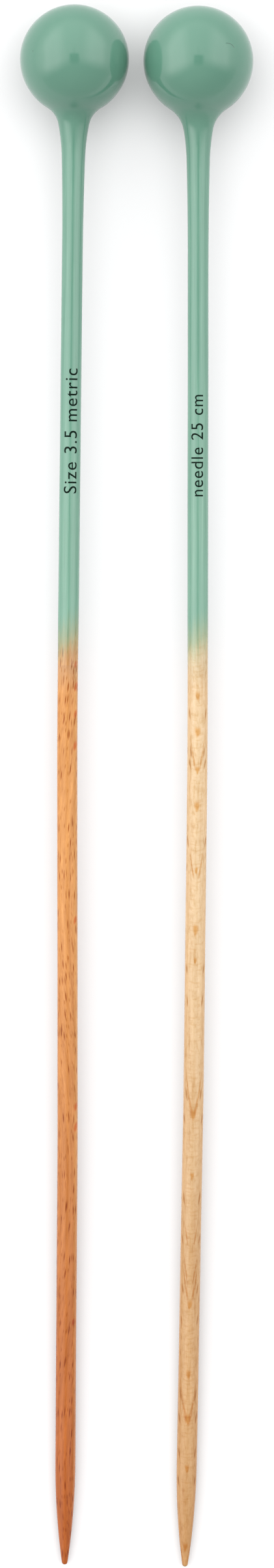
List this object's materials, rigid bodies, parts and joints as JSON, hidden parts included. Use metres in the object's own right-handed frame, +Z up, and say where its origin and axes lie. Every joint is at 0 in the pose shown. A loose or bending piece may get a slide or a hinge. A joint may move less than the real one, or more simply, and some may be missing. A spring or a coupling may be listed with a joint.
{
  "type": "straight knitting needles",
  "caption": "Two straight, single-pointed wooden knitting needles with a rounded point at one end and a glued-on, lacquered ball knob at the other, lying side by side.",
  "frame": {"origin": "on the surface that the needles lie on, under the middle of the pair's bounding box", "axes": "+Y along the needles towards their knobs, +X to the right with the knobs away from the viewer, +Z up"},
  "size_m": [0.04, 0.269, 0.0189],
  "materials": {
    "left_wood": "satin varnish",
    "right_wood": "satin varnish",
    "knob_wood": "bare, under lacquer",
    "glue": "set wood glue",
    "lacquer": "gloss mint lacquer"
  },
  "bodies": {
    "left_needle": {"left_shaft": "left_wood", "left_knob": "knob_wood", "left_glue_line": "glue", "left_lacquer_coat": "lacquer"},
    "right_needle": {"right_shaft": "right_wood", "right_knob": "knob_wood", "right_glue_line": "glue", "right_lacquer_coat": "lacquer"}
  },
  "joints": [
    {"name": "right_needle_lift", "type": "slide", "parent": "left_needle", "child": "right_needle", "axis": [0, 0, 1], "range_m": [0, 0.06]}
  ]
}
